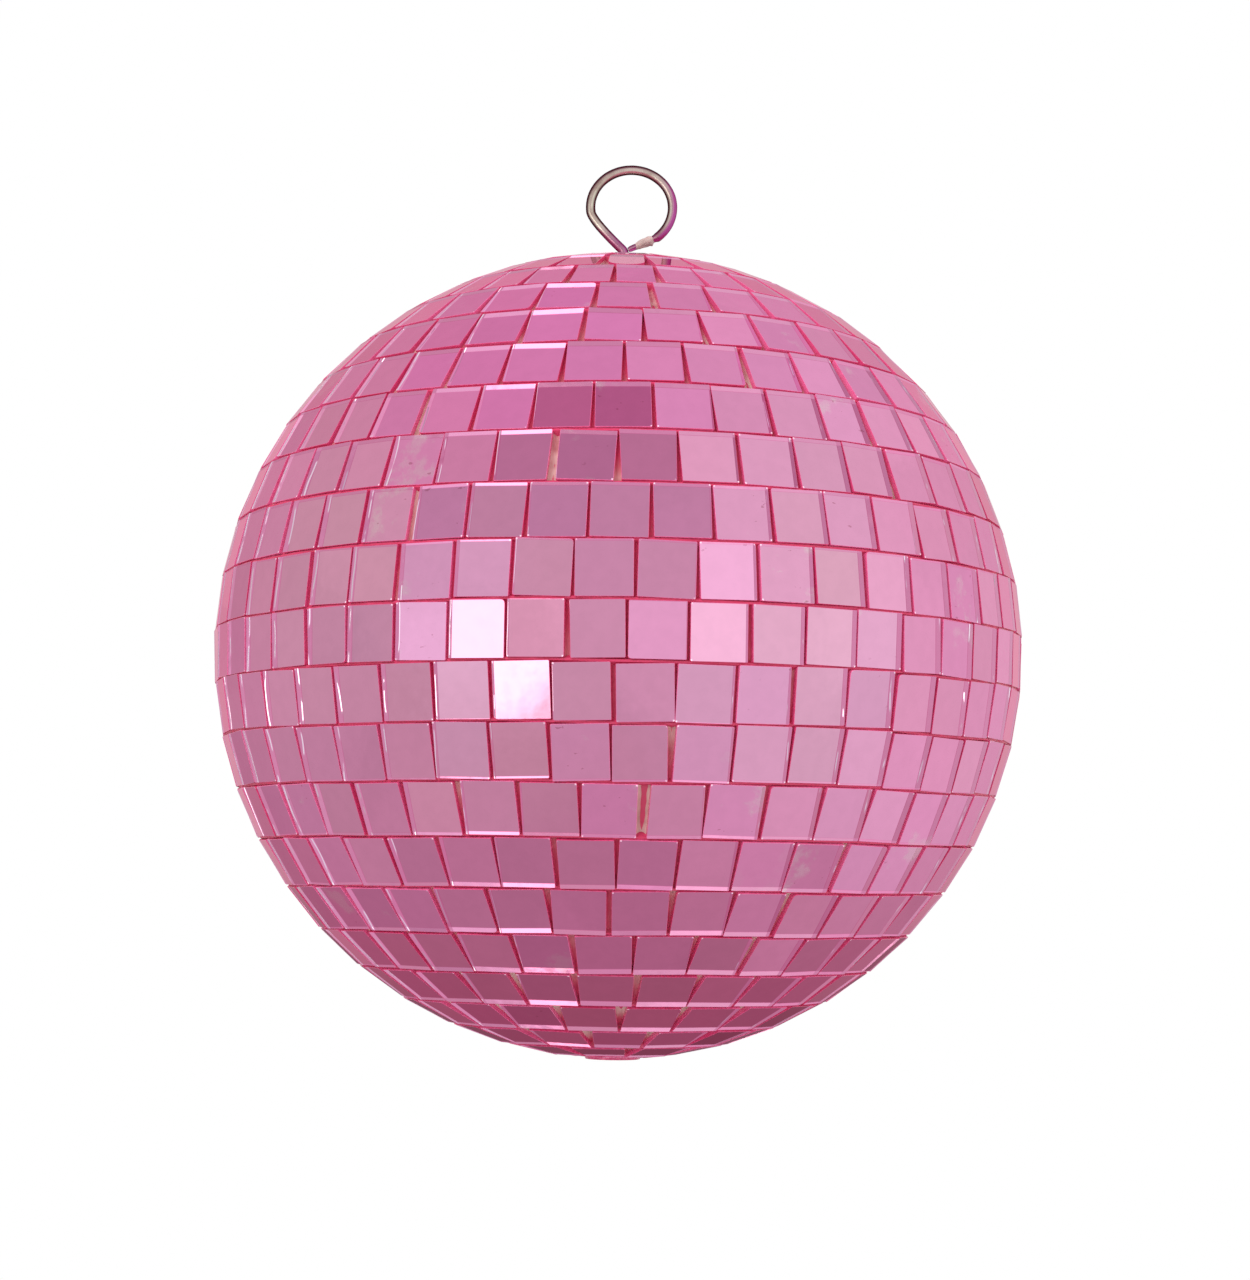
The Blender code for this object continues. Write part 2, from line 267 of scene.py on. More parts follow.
def glint(nodes, place, slant, share):
    """Where a cut side isn't flat: in a broken line along it, and less on the scored side."""
    line = nodes.smooth(nodes.noise(85.0, 1.0, place), 0.2, 0.8, 0.15, 0.95)
    off_line = nodes.math("ABSOLUTE", nodes.minus(share, line))
    breaks = nodes.noise(190.0, 2.0, nodes.vector("ADD", place, (3, 1, 2)))
    breaks = nodes.plus(breaks, nodes.smooth(slant, -0.05, 0.05, -0.14, 0.01))
    return nodes.times(nodes.smooth(off_line, 0.16, 0.08), nodes.smooth(breaks, 0.44, 0.54))


def glass_normal(nodes, place):
    """The direction that a tile's glass faces for the ray that meets it. Near an edge the ray
    goes on from the silvering to the cut side of the glass, which sends it back across the
    tile, as the two mirrors of a corner do. Returns it, whether that side was met, how near
    to the front of the glass it was met, and whether at a flaw."""
    across, up = tile_axis(nodes, "tile_across"), tile_axis(nodes, "tile_up")
    incoming = nodes.add("NewGeometry").outputs["Incoming"]
    slant_across, slant_up = nodes.dot(incoming, across), nodes.dot(incoming, up)
    squares = nodes.plus(nodes.times(slant_across, slant_across), nodes.times(slant_up, slant_up))
    inside = nodes.minus(1.0, nodes.over(squares, GLASS_IOR**2))
    reach = nodes.over(2 * GLASS_DEPTH / GLASS_IOR, nodes.math("SQRT", inside))

    left, right, above = nodes.split(nodes.attribute("tile_edges"))
    below, seed, _ = nodes.split(nodes.attribute("tile_traits"))
    share_across = share_to_side(nodes, slant_across, reach, left, right)
    share_up = share_to_side(nodes, slant_up, reach, below, above)
    normal = incoming
    met = []
    for axis, slant, share in ((across, slant_across, share_across), (up, slant_up, share_up)):
        met.append(nodes.math("LESS_THAN", share, 1.0))
        keep = nodes.times(slant, nodes.minus(1.0, met[-1]))
        normal = nodes.vector("SUBTRACT", normal, nodes.scaled(axis, keep))
    at_edge = nodes.math("MAXIMUM", *met)
    share = nodes.math("MINIMUM", share_across, share_up)
    from_middle = nodes.math("ABSOLUTE", nodes.minus(nodes.times(share, 2.0), 1.0))

    ripple = nodes.add("TexNoise", {"Vector": place, "Scale": 620.0, "Detail": 2.0})
    ripple = nodes.vector("SUBTRACT", ripple.outputs["Color"], (0.5, 0.5, 0.5))
    wander = nodes.scaled(ripple, nodes.times(at_edge, CUT_RIPPLE))
    normal = nodes.vector("ADD", normal, wander)

    # A flaw turns the ray away to the lamp or to the window
    flaw = nodes.times(glint(nodes, place, slant_across, share_across), met[0])
    to_window = nodes.math("GREATER_THAN", seed, 0.4)
    kick = nodes.smooth(to_window, 0.0, 1.0, KICK_TO_LAMP, KICK_TO_WINDOW)
    kick = nodes.scaled((1.0, 0.0, 0.0), nodes.times(kick, flaw))
    normal = nodes.vector("NORMALIZE", nodes.vector("ADD", normal, kick))
    return normal, at_edge, nodes.times(at_edge, from_middle), flaw


def pale_corners(nodes, place, below):
    """Where some corners of a tile are made pale."""
    left, right, above = nodes.split(nodes.attribute("tile_edges"))
    from_side = nodes.math("MINIMUM", left, right)
    from_corner = nodes.math("MAXIMUM", from_side, nodes.math("MINIMUM", below, above))
    worn = nodes.smooth(from_corner, PALE_CORNER_REACH, 0.5 * PALE_CORNER_REACH)
    return nodes.times(worn, nodes.smooth(nodes.noise(230.0, 1.0, place), 0.52, 0.58))


def mirror_glass():
    """Pink back-silvered glass: a tinted mirror under a clear front."""
    mat, nodes, shader = new_material("mirror_glass")
    below, seed, haze = nodes.split(nodes.attribute("tile_traits"))
    place = nodes.place()
    normal, at_edge, near_front, flaw = glass_normal(nodes, place)

    blotch = nodes.noise(420.0, 3.0, place)
    tint = nodes.ramp(seed, ((0.0, GLASS_DUSKY), (0.5, GLASS_PINK), (1.0, GLASS_MAGENTA)))
    tint = nodes.scaled(tint, nodes.smooth(blotch, 0.3, 0.7, 0.965, 1.0))
    smear = nodes.noise(95.0, 5.0, place, 0.62)
    smudge = nodes.times(nodes.smooth(smear, 0.57, 0.66), nodes.smooth(seed, 0.70, 0.95))
    dots = nodes.noise(620.0, 3.0, nodes.vector("MULTIPLY", place, (1.0, 1.0, 1.6)))
    flecks = nodes.times(nodes.smooth(dots, 0.69, 0.72), nodes.smooth(seed, 0.86, 0.92))
    # Pale, less mirror-like spots at some corners of the tiles
    worn = pale_corners(nodes, place, below)
    for cover, colour in (
        (nodes.times(at_edge, 0.7), STRIP_PINK),
        (nodes.smooth(near_front, 0.72, 0.96, 0.0, 0.8), EDGE_PINK),
        (nodes.times(flaw, 0.9), PALE_PINK),
        (nodes.times(smudge, 0.34), SMUDGE),
        (nodes.times(flecks, 0.5), FLECK),
        (nodes.times(haze, 0.75), GLUE_HAZE),
        (worn, PALE_PINK),
    ):
        tint = nodes.blend(cover, tint, rgb(colour))
    nodes.feed(shader["Base Color"], tint)
    metal = nodes.smooth(haze, 0.0, 1.0, 1.0, 0.35)
    metal = nodes.math("SUBTRACT", metal, nodes.times(worn, 0.7), clamp=True)
    nodes.feed(shader["Metallic"], metal)

    rough = nodes.smooth(nodes.noise(700.0, 2.0, place), 0.3, 0.7, 0.035, 0.075)
    for cover, rougher in ((smudge, 0.16), (haze, 0.30), (at_edge, 0.05)):
        rough = nodes.plus(rough, nodes.times(cover, rougher))
    nodes.feed(shader["Roughness"], rough)

    wave = nodes.noise(230.0, 2.0, place)
    grain = nodes.noise(2600.0, 2.0, place)
    height = nodes.plus(wave, nodes.times(grain, 0.03))
    nodes.feed(shader["Normal"], nodes.bump(height, 0.25, 0.00003, normal))
    shader["Coat Weight"].default_value = 0.5
    shader["Coat Roughness"].default_value = 0.03
    shader["Coat IOR"].default_value = 1.35
    shader["Specular Tint"].default_value = rgb(GRAZING_PINK)
    return mat


def cut_glass():
    """The cut sides and ground arris of a tile, stained by the pink coating."""
    mat, nodes, shader = new_material("cut_glass")
    seed = nodes.split(nodes.attribute("tile_traits"))[1]
    grind = nodes.noise(1500.0, 4.0)
    mixed = nodes.plus(nodes.times(seed, 0.5), nodes.times(grind, 0.5))
    tint = nodes.ramp(mixed, ((0.25, EDGE_CRIMSON), (0.75, EDGE_PINK)))
    nodes.feed(shader["Base Color"], tint)
    shader["Metallic"].default_value = 0.15
    nodes.feed(shader["Roughness"], nodes.smooth(grind, 0.3, 0.7, 0.16, 0.34))
    shader["Coat Weight"].default_value = 0.5
    nodes.feed(shader["Normal"], nodes.bump(grind, 0.35, 0.00004))
    return mat


def tile_glue():
    """The glue between tiles: beige where a joint opens into a wedge, and, where it is narrow,
    painted a darker crimson for the light from the cut glass and for the joint's shade."""
    mat, nodes, shader = new_material("tile_glue")
    lumps = nodes.noise(380.0, 5.0)
    beige = nodes.ramp(lumps, ((0.3, BED_DARK), (0.5, BED_BEIGE), (0.8, BED_PALE)))
    width = nodes.add("Attribute", attribute_name="joint_width").outputs["Fac"]
    width = nodes.plus(width, nodes.times(lumps, 0.2 * MM))
    # Painted light and shade: narrow joints take the crimson glow of the cut glass and are darker
    opened = nodes.smooth(width, NARROW_JOINT, WIDE_JOINT)
    nodes.feed(shader["Base Color"], nodes.blend(opened, rgb(JOINT_GLOW_AND_SHADE), beige))
    nodes.feed(shader["Roughness"], nodes.smooth(lumps, 0.3, 0.7, 0.62, 0.38))
    nodes.feed(shader["Normal"], nodes.bump(lumps, 0.6, 0.0003))
    return mat


def loop_glue():
    """Cured putty-like glue: pale, waxy, and darker in its hollows."""
    mat, nodes, shader = new_material("loop_glue")
    lumps = nodes.noise(520.0, 5.0, roughness=0.6)
    # Darker where the lumps are low, in the hollows
    tint = nodes.ramp(lumps, ((0.30, GLUE_HOLLOW_TONE), (0.50, GLUE_TAN), (0.75, GLUE_PALE)))
    nodes.feed(shader["Base Color"], tint)
    nodes.feed(shader["Roughness"], nodes.smooth(lumps, 0.3, 0.7, 0.55, 0.30))
    nodes.feed(shader["Normal"], nodes.bump(lumps, 0.5, 0.0002))
    shader["Subsurface Weight"].default_value = 0.15
    shader["Subsurface Radius"].default_value = (0.0009, 0.0005, 0.0005)
    shader["Subsurface Scale"].default_value = 0.5
    return mat


def drawn_wire():
    """Steel wire with drawing lines along it, under a patchy tarnish. Painted shade darkens its rim
    at a glancing angle, for the camera only, and a painted pink reflection of the ball's light
    lies on it low down and on the right."""
    mat, nodes, shader = new_material("drawn_wire")
    lines = nodes.noise(900.0, 3.0, nodes.add("UVMap").outputs[0], stretch=(0.02, 1.0, 1.0))
    tarnish = nodes.noise(260.0, 4.0)
    tint = nodes.ramp(tarnish, ((0.35, WIRE_TARNISH), (0.60, WIRE_BEIGE)))
    outward = nodes.add("NewGeometry").outputs["Normal"]
    faces_ball = nodes.smooth(nodes.dot(outward, (0.8, 0.0, -0.6)), -0.4, 0.4)
    from_eye = nodes.vector("SUBTRACT", nodes.place(), EYE_MIDDLE)
    low_right = nodes.smooth(nodes.dot(from_eye, (0.75, 0.0, -0.66)), -0.001, 0.005)
    # Painted shade: the rim turns dark brown at a glancing angle, as the camera sees it
    turned_away = nodes.add("LayerWeight", {"Blend": 0.5}).outputs["Facing"]
    seen_directly = nodes.add("LightPath").outputs["Is Camera Ray"]
    dark = nodes.times(nodes.smooth(turned_away, 0.04, 0.32), seen_directly)
    tint = nodes.blend(dark, tint, rgb(WIRE_RIM_DARK))
    # Painted reflection: the ball's pink light on the wire's lower right, and low down near the
    # ball
    ball_light_pink = nodes.times(faces_ball, low_right)
    near_ball = nodes.smooth(nodes.split(from_eye)[2], -0.0035, -0.0070, 0.0, 0.65)
    ball_light_pink = nodes.math("MAXIMUM", ball_light_pink, near_ball)
    tint = nodes.blend(ball_light_pink, tint, rgb(WIRE_MAGENTA))
    nodes.feed(shader["Base Color"], tint)
    shader["Metallic"].default_value = 1.0
    shader["Specular Tint"].default_value = rgb(WIRE_RIM_DARK)
    nodes.feed(shader["Roughness"], nodes.smooth(tarnish, 0.3, 0.7, 0.34, 0.22))
    nodes.feed(shader["Normal"], nodes.bump(lines, 0.25, 0.00003))
    return mat


def moulded_plastic(name, dark, light, roughness):
    mat, nodes, shader = new_material(name)
    cloud = nodes.noise(140.0, 4.0)
    grain = nodes.noise(2200.0, 2.0)
    nodes.feed(shader["Base Color"], nodes.ramp(cloud, ((0.3, dark), (0.7, light))))
    rough = nodes.smooth(grain, 0.3, 0.7, roughness - 0.08, roughness + 0.08)
    nodes.feed(shader["Roughness"], rough)
    nodes.feed(shader["Normal"], nodes.bump(grain, 0.25, 0.00005))
    return mat


def plated_metal(name, dark, light, roughness, patch):
    """Metal with a patchy surface: the spangle of zinc, or the finer patches of aluminium."""
    mat, nodes, shader = new_material(name)
    place = nodes.place()
    cells = nodes.add("TexVoronoi", {"Vector": place, "Scale": patch}).outputs["Color"]
    scuffs = nodes.noise(1800.0, 4.0, place)
    tint = nodes.ramp(nodes.dot(cells, (0.5, 0.3, 0.2)), ((0.1, dark), (0.9, light)))
    nodes.feed(shader["Base Color"], tint)
    shader["Metallic"].default_value = 1.0
    rough = nodes.smooth(scuffs, 0.3, 0.7, roughness - 0.08, roughness + 0.10)
    nodes.feed(shader["Roughness"], rough)
    nodes.feed(shader["Normal"], nodes.bump(scuffs, 0.2, 0.00004))
    return mat


# Pieces


def band(bm, lower, upper, material=0):
    """The faces between two closed rings of vertices, of which one may be a single point."""
    for i in range(max(len(lower), len(upper))):
        below, above = [(ring[(i - 1) % len(ring)], ring[i % len(ring)]) for ring in (lower, upper)]
        corners = dict.fromkeys((*below, *reversed(above)))  # each vertex once
        bm.faces.new(list(corners)).material_index = material


def circle(sides):
    """The corners of a regular polygon of radius 1."""
    turns = (2 * math.pi * k / sides for k in range(sides))
    return [Vector((math.cos(turn), math.sin(turn))) for turn in turns]


def finished(name, bm, materials, body, node, smooth_angle=None):
    """Makes the object of a mesh, which rides on its body and stands for its CAD node."""
    bmesh.ops.recalc_face_normals(bm, faces=bm.faces[:])
    data = bpy.data.meshes.new(name)
    bm.to_mesh(data)
    bm.free()
    for mat in materials:
        data.materials.append(mat)
    if smooth_angle:
        data.shade_smooth()
        data.set_sharp_from_angle(angle=math.radians(smooth_angle))
    piece = bpy.data.objects.new(name, data)
    bpy.context.scene.collection.objects.link(piece)
    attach(piece, body)
    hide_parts(node)
    return piece


# Tiles


def cad_faces(node):
    """The front of each tile of a CAD row: its normal and its corners, in order round the row."""
    found = []
    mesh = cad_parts[node].data
    for facet in mesh.polygons:
        if facet.normal.dot(facet.center) < FACE_LIMIT:
            continue
        corners = [mesh.vertices[i].co.copy() for i in facet.vertices]
        for normal, known in found:
            if normal.dot(facet.normal) > SAME_PLANE:
                known += [c for c in corners if min((c - k).length for k in known) > TINY]
                break
        else:
            found.append((facet.normal.copy(), corners))
    return sorted(found, key=lambda face: math.atan2(face[0].y, face[0].x))


def corner_arc(before, corner, after, reach, steps):
    """The points that round a corner off, starting and ending reach away from it."""
    first = corner + (before - corner).normalized() * reach
    last = corner + (after - corner).normalized() * reach
    points = []
    for i in range(steps + 1):
        t = i / steps
        points.append(first * (1 - t) ** 2 + corner * 2 * t * (1 - t) + last * t**2)
    return points


def cut_short(flat, rng):
    """Takes a sliver off the left or right side of some tiles, as a slip of the cutter does."""
    if rng.random() > SHORT_SHARE:
        return flat
    side = rng.choice((-1, 1))
    return [
        p - Vector((side * rng.uniform(0.1, 1.0) * SHORT_BY, 0)) if p.x * side > 0 else p
        for p in flat
    ]


def tile_outline(corners, rng, rounded):
    """The cut outline of a tile on its own plane, with worn or chipped corners."""
    outline = []
    for i, corner in enumerate(corners):
        reach, steps = CORNER * rng.uniform(*CORNER_SPREAD), 1
        if rng.random() < CHIP_SHARE:
            reach, steps = rng.uniform(*CHIP), 3
        if rounded:
            reach, steps = ROUND_BELOW if corner.y < 0 else ROUND_ABOVE, 6
        outline += corner_arc(corners[i - 1], corner, corners[(i + 1) % 4], reach, steps)
    return outline


def row_wander(out):
    """How far up a row is laid off its line, in one direction from the ball's centre."""
    return ROW_WANDER * noise.noise(out * 2.6)


class TileRow:
    """One row of tiles, gathered in a single mesh with what the glass needs to know of each."""

    def __init__(self):
        self.bm = bmesh.new()
        names = ("tile_across", "tile_up", "tile_edges", "tile_traits")
        self.layers = [self.bm.verts.layers.float_vector.new(name) for name in names]
        self.width = self.bm.verts.layers.float.new("joint_width")
        self.sides = []

    def ring(self, place, points, depth, inset, traits):
        """One loop of vertices round a tile, at a depth under its face."""
        middle, across, up, normal = place
        low = Vector((min(p.x for p in points), min(p.y for p in points)))
        high = Vector((max(p.x for p in points), max(p.y for p in points)))
        half = (high - low) / 2
        made = []
        for p in points:
            q = Vector((p.x * (1 - inset / half.x), p.y * (1 - inset / half.y)))
            vert = self.bm.verts.new(middle + across * q.x + up * q.y - normal * depth)
            values = (
                across,
                up,
                (q.x - low.x, high.x - q.x, high.y - q.y),
                (q.y - low.y, *traits),
            )
            for layer, value in zip(self.layers, values):
                vert[layer] = value
            made.append(vert)
        return made

    def glass(self, place, outline, traits, arris, drop, depth):
        """A closed block of glass: its mirror, its ground edge and its cut sides."""
        face = self.ring(place, outline, 0.0, arris, traits)
        shoulder = self.ring(place, outline, drop, 0.0, traits)
        foot = self.ring(place, outline, depth, 0.0, traits)
        self.bm.faces.new(face).material_index = MIRROR
        band(self.bm, face, shoulder, CUT)
        band(self.bm, shoulder, foot, CUT)
        self.bm.faces.new(foot[::-1]).material_index = CUT

    def tile(self, normal, corners, rng, cutter, rounded):
        """A tile for a CAD face, laid a little differently from its neighbours."""
        middle = sum(corners, Vector()) / len(corners)
        across = Z_AXIS.cross(normal).normalized()
        up = normal.cross(across)
        flat = [Vector(((c - middle).dot(across), (c - middle).dot(up))) for c in corners]
        flat.sort(key=lambda p: math.atan2(p.y, p.x))
        loss = rng.uniform(-SIZE_ERROR, SIZE_ERROR) / 2 - TILE_GAIN
        flat = [p - Vector((math.copysign(loss, p.x), math.copysign(loss, p.y))) for p in flat]
        flat = cut_short(flat, cutter)
        outline = tile_outline(flat, rng, rounded)

        askew = max(-MOST_TURN, min(MOST_TURN, rng.gauss(0, TURN)))
        turn = (
            Matrix.Rotation(askew, 3, normal)
            @ Matrix.Rotation(rng.gauss(0, TILT), 3, up)
            @ Matrix.Rotation(rng.gauss(0, TILT), 3, across)
        )
        rise = rng.uniform(-SHIFT_UP, SHIFT_UP) + row_wander(normal)
        middle = middle + across * rng.uniform(-SHIFT_ACROSS, SHIFT_ACROSS) + up * rise
        place = (middle, turn @ across, turn @ up, turn @ normal)
        self.sides.append((place, flat))
        traits = (rng.random(), GLUE_COVER if rounded else 0.0)
        self.glass(place, outline, traits, ARRIS, ARRIS * ARRIS_SLOPE, TILE_DEPTH)

    def joint(self, near, far, share):
        """Where one neighbour's side starts the joint and the other's ends it, at a height
        given as a share of the side, and the direction out of the ball."""
        ends = []
        for ((middle, across, up, normal), flat), side in ((near, 1), (far, -1)):
            lower, upper = sorted((p for p in flat if p.x * side > 0), key=lambda p: p.y)
            q = lower.lerp(upper, share)
            ends.append((middle + across * q.x + up * q.y, across * side, normal))
        (start, inward, normal), (end, outward, _) = ends
        return start - inward * ARRIS, end - outward * ARRIS, normal, (end - start).length

    def glue_line(self, start, end, normal, width):
        """A line of vertices across a joint, sagging and lumpy."""
        line = []
        for i in range(GROUT_STEPS_ACROSS + 1):
            share = i / GROUT_STEPS_ACROSS
            sag = 4 * share * (1 - share) * (GROUT_SAG + GROUT_SAG_SHARE * width)
            point = start.lerp(end, share)
            lump = GROUT_LUMPS * noise.noise(point * 900) * min(1.0, width / MM)
            vert = self.bm.verts.new(point - normal * (GROUT_DEPTH + sag + lump))
            vert[self.width] = width
            line.append(vert)
        return line

    def grout(self):
        """The glue that stands in each joint between two neighbours of the row, as a small
        closed block."""
        for near, far in zip(self.sides, self.sides[1:] + self.sides[:1]):
            lines, feet = [], []
            for j in range(GROUT_STEPS_UP + 1):
                share = (1 + 2 * GROUT_REACH) * j / GROUT_STEPS_UP - GROUT_REACH
                start, end, normal, width = self.joint(near, far, share)
                lines.append(self.glue_line(start, end, normal, width))
                if j in (0, GROUT_STEPS_UP):
                    feet.append([self.bm.verts.new(p - normal * TILE_DEPTH) for p in (start, end)])
            for lower, upper in zip(lines, lines[1:]):
                for i in range(1, GROUT_STEPS_ACROSS + 1):
                    self.glue_face((lower[i - 1], lower[i], upper[i], upper[i - 1]))
            (low_near, low_far), (high_near, high_far) = feet
            self.glue_face((low_near, low_far, *lines[0][::-1]))
            self.glue_face((high_near, high_far, *lines[-1][::-1]))
            self.glue_face((low_near, high_near, *(line[0] for line in reversed(lines))))
            self.glue_face((low_far, high_far, *(line[-1] for line in reversed(lines))))
            self.glue_face((low_near, low_far, high_far, high_near))

    def glue_face(self, corners):
        self.bm.faces.new(corners).material_index = GLUE

    def bed(self, faces, raised):
        """The band of glue under the row, which rises in the joint at each of its sides."""
        slopes = [math.asin(c.z / c.length) for _, corners in faces for c in corners]
        low, high = min(slopes), max(slopes)
        levels = [(low - BED_OVERLAP, RIDGE_RADIUS), (low, RIDGE_RADIUS)]
        for j in range(BED_STEPS + 1):
            share = BED_RISE + (1 - 2 * BED_RISE) * j / BED_STEPS
            levels.append((low + (high - low) * share, BED_RADIUS))
        levels += [(high, RIDGE_RADIUS), (high + BED_OVERLAP, RIDGE_RADIUS)]
        levels += [(high + BED_OVERLAP, BED_BACK), (low - BED_OVERLAP, BED_BACK)]
        grid = []
        for slope, radius in levels:
            ring = []
            for point in circle(len(faces) * BED_STEPS):
                out = (point * math.cos(slope)).to_3d() + Z_AXIS * math.sin(slope)
                up = (Z_AXIS - out * out.z).normalized()
                height = radius
                if radius > BED_BACK:
                    height += raised + BED_LUMPS * noise.noise(out * 60)
                ring.append(self.bm.verts.new(out * height + up * row_wander(out)))
            grid.append(ring)
        for lower, upper in zip(grid, grid[1:] + grid[:1]):
            band(self.bm, lower, upper, GLUE)


def tile_rows(materials):
    for node in sorted(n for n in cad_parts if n.startswith("tile_row_")):
        row = int(node[-2:])
        rng, cutter = random.Random(row), random.Random(100 + row)
        faces = cad_faces(node)
        front = min(faces, key=lambda face: face[0].y)
        made = TileRow()
        for normal, corners in faces:
            rounded = row == ROUNDED_ROW and normal is front[0]
            made.tile(normal, corners, rng, cutter, rounded)
        made.bed(faces, BED_STEP * (row % 2))
        made.grout()
        finished(f"tiles_{row:02d}", made.bm, materials, "ball", node)


# Wire loop

WIRE = 0.9 * MM  # its radius
WIRE_SIDES = 20
WIRE_WEAR = 0.012  # how uneven it is
UV_HEIGHT = 0.005  # about the wire's girth, so that its lines run straight
END_ROUNDING = 0.4 * MM
EYE_MIDDLE = Vector((0.0013, 0, 0.0854))
EYE_HALF_WIDTH = 0.00778
EYE_RISE = 0.0072
RIGHT_SAG = 0.0074
LEFT_END = math.radians(-97)
RIGHT_END = math.radians(141)
EYE_STEPS = 84
LEG_BEND = Vector((-0.0063, 0, 0.0829))
LEG_STEPS = 36
KNEE = Vector((0, 0, 0.0769))
KNEE_REACH = 0.6 * MM
KNEE_STEPS = 8
STEM_STEPS = 6
TAIL_TIP = Vector((0.0008, 0, 0.0772))
TAIL_STEPS = 12
TAIL_THIN = 0.62  # the tail's radius at its tip, as a share of the wire's
TAIL_TAPER = 0.10  # how much it gains along the tail
TAIL_SHOULDER = 0.12  # the share of the tail over which it gains the rest

# The glue on the tail, in mm: a blob drawn out along it
BEAD_MIDDLE = 0.45  # as a share of the tail
BEAD_HALF_LENGTH = 2.15
BEAD_RADIUS = 0.86
BEAD_TAPER = 0.13
DRIP = 0.75
DRIP_PLACE = -0.62  # as a share of the blob's half length


def eye_point(angle):
    """A point on the middle of the eye's wire. The angle runs clockwise from its top."""
    rise = EYE_RISE if angle < math.radians(90) else RIGHT_SAG
    return EYE_MIDDLE + Vector((EYE_HALF_WIDTH * math.sin(angle), 0, rise * math.cos(angle)))


def bezier(first, middle, last, steps):
    """The points of a curve after its first."""
    shares = [i / steps for i in range(1, steps + 1)]
    return [first * (1 - t) ** 2 + middle * 2 * t * (1 - t) + last * t**2 for t in shares]


def wire_path():
    """The wire's middle: up the stem, round the knee, up the leg, round the eye and along
    its tail."""
    stem_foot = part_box("hanging_loop")[0].z
    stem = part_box("hanger_bush")[1].z - stem_foot
    path = [Z_AXIS * (stem_foot + stem * i / STEM_STEPS) for i in range(STEM_STEPS)]
    uphill = (LEG_BEND - KNEE).normalized()
    bend_from = KNEE - Z_AXIS * KNEE_REACH
    bend_to = KNEE + uphill * KNEE_REACH
    path.append(bend_from)
    path += bezier(bend_from, KNEE, bend_to, KNEE_STEPS)
    path += bezier(bend_to, LEG_BEND, eye_point(LEFT_END), LEG_STEPS)
    step = (RIGHT_END - LEFT_END) / EYE_STEPS
    path += [eye_point(LEFT_END + step * i) for i in range(1, EYE_STEPS + 1)]
    tail_root = path[-1]
    return path + [tail_root.lerp(TAIL_TIP, i / TAIL_STEPS) for i in range(1, TAIL_STEPS + 1)]


def swept(path, radius_at, sides):
    """A closed round tube along a path in the XZ plane, with domed ends and a UV map."""
    bm = bmesh.new()
    uv = bm.loops.layers.uv.new("UVMap")
    rings = []
    run = [0.0]
    for a, b in zip(path, path[1:]):
        run.append(run[-1] + (b - a).length)
    for i, point in enumerate(path):
        ahead = path[min(i + 1, len(path) - 1)] - path[max(i - 1, 0)]
        ahead.normalize()
        side = ahead.cross(Y_AXIS).normalized()
        radius = radius_at(run[i], run[-1])
        outward = [side * p.x + Y_AXIS * p.y for p in circle(sides)]
        rings.append([bm.verts.new(point + out * radius) for out in outward])
    for i, (lower, upper) in enumerate(zip(rings, rings[1:])):
        for k in range(sides):
            facet = bm.faces.new((lower[k - 1], lower[k], upper[k], upper[k - 1]))
            places = ((i, k - 1), (i, k), (i + 1, k), (i + 1, k - 1))
            for corner, (along, round_it) in zip(facet.loops, places):
                corner[uv].uv = (run[along], (round_it % sides) / sides * UV_HEIGHT)
    bm.faces.new(rings[0][::-1])
    bm.faces.new(rings[-1])
    return bm


def hanging_loop(wire):
    path = wire_path()
    tail_length = (path[-1] - path[-1 - TAIL_STEPS]).length

    def radius_at(along, length):
        """The wire's radius, drawn out over its tail and rounded off at each end."""
        worn = 1 + WIRE_WEAR * noise.noise(Vector((along * 700, 0, 0)))
        rounding = min(1.0, 0.75 + 0.25 * min(along, length - along) / END_ROUNDING)
        left = max(0.0, min(1.0, (length - along) / tail_length))
        shoulder = max(0.0, 1 - (1 - left) / TAIL_SHOULDER)
        rest = 1 - TAIL_THIN - TAIL_TAPER
        return WIRE * worn * rounding * (TAIL_THIN + TAIL_TAPER * left + rest * shoulder)

    bm = swept(path, radius_at, WIRE_SIDES)
    return finished("wire_loop", bm, [wire], "loop", "hanging_loop", smooth_angle=50)


def loop_bead(glue):
    """The glue drawn out along the wire's tail, with a drip under its thick end."""
    path = wire_path()
    tip, root = path[-1], path[-1 - TAIL_STEPS]
    along = (tip - root).normalized()
    up = Y_AXIS.cross(along)
    if up.z < 0:
        up = -up
    middle = root.lerp(tip, BEAD_MIDDLE)
    bm = bmesh.new()
    bmesh.ops.create_icosphere(bm, subdivisions=5, radius=1.0)
    for vert in bm.verts:
        x, y, z = vert.co
        blunt = max(TINY, 1 - x * x) ** -0.22  # fuller ends than a ball's
        thick = (BEAD_RADIUS - BEAD_TAPER * x) * blunt
        thick *= 1.0 + 0.14 * noise.noise(vert.co * 1.9 + Vector((3, 1, 7)))
        thick *= 1.0 + 0.06 * noise.noise(vert.co * 7.0)
        drip = DRIP * max(0.0, -z) ** 3 * math.exp(-((x - DRIP_PLACE) ** 2) / 0.02)
        offset = along * x * BEAD_HALF_LENGTH + Y_AXIS * y * thick + up * z * (thick + drip)
        vert.co = middle + offset * MM
    return finished("loop_glue_lump", bm, [glue], "loop", "loop_bead", smooth_angle=60)


# Turned pieces

BORE = 1.2 * MM  # of the bush and the washer
NECK = 3.2 * MM  # the bush's radius below its flange
FLANGE = 1.4 * MM
HOLE = 3.5 * MM  # what the bush goes through
CRIMPS = (0.33, 0.67)  # as shares of the ferrule's length
CRIMP_DEPTH = 0.16
CRIMP_WIDTH = 0.09
FERRULE_STEPS = 24
NUT_SIDES = 72
NUT_LEVELS = 9
NUT_CHAMFER = 0.7 * MM
CORE_WALL = 2.4 * MM
CORE_GAP = 0.3 * MM
CORE_LAP = 3.0 * MM
CORE_STEPS = 40


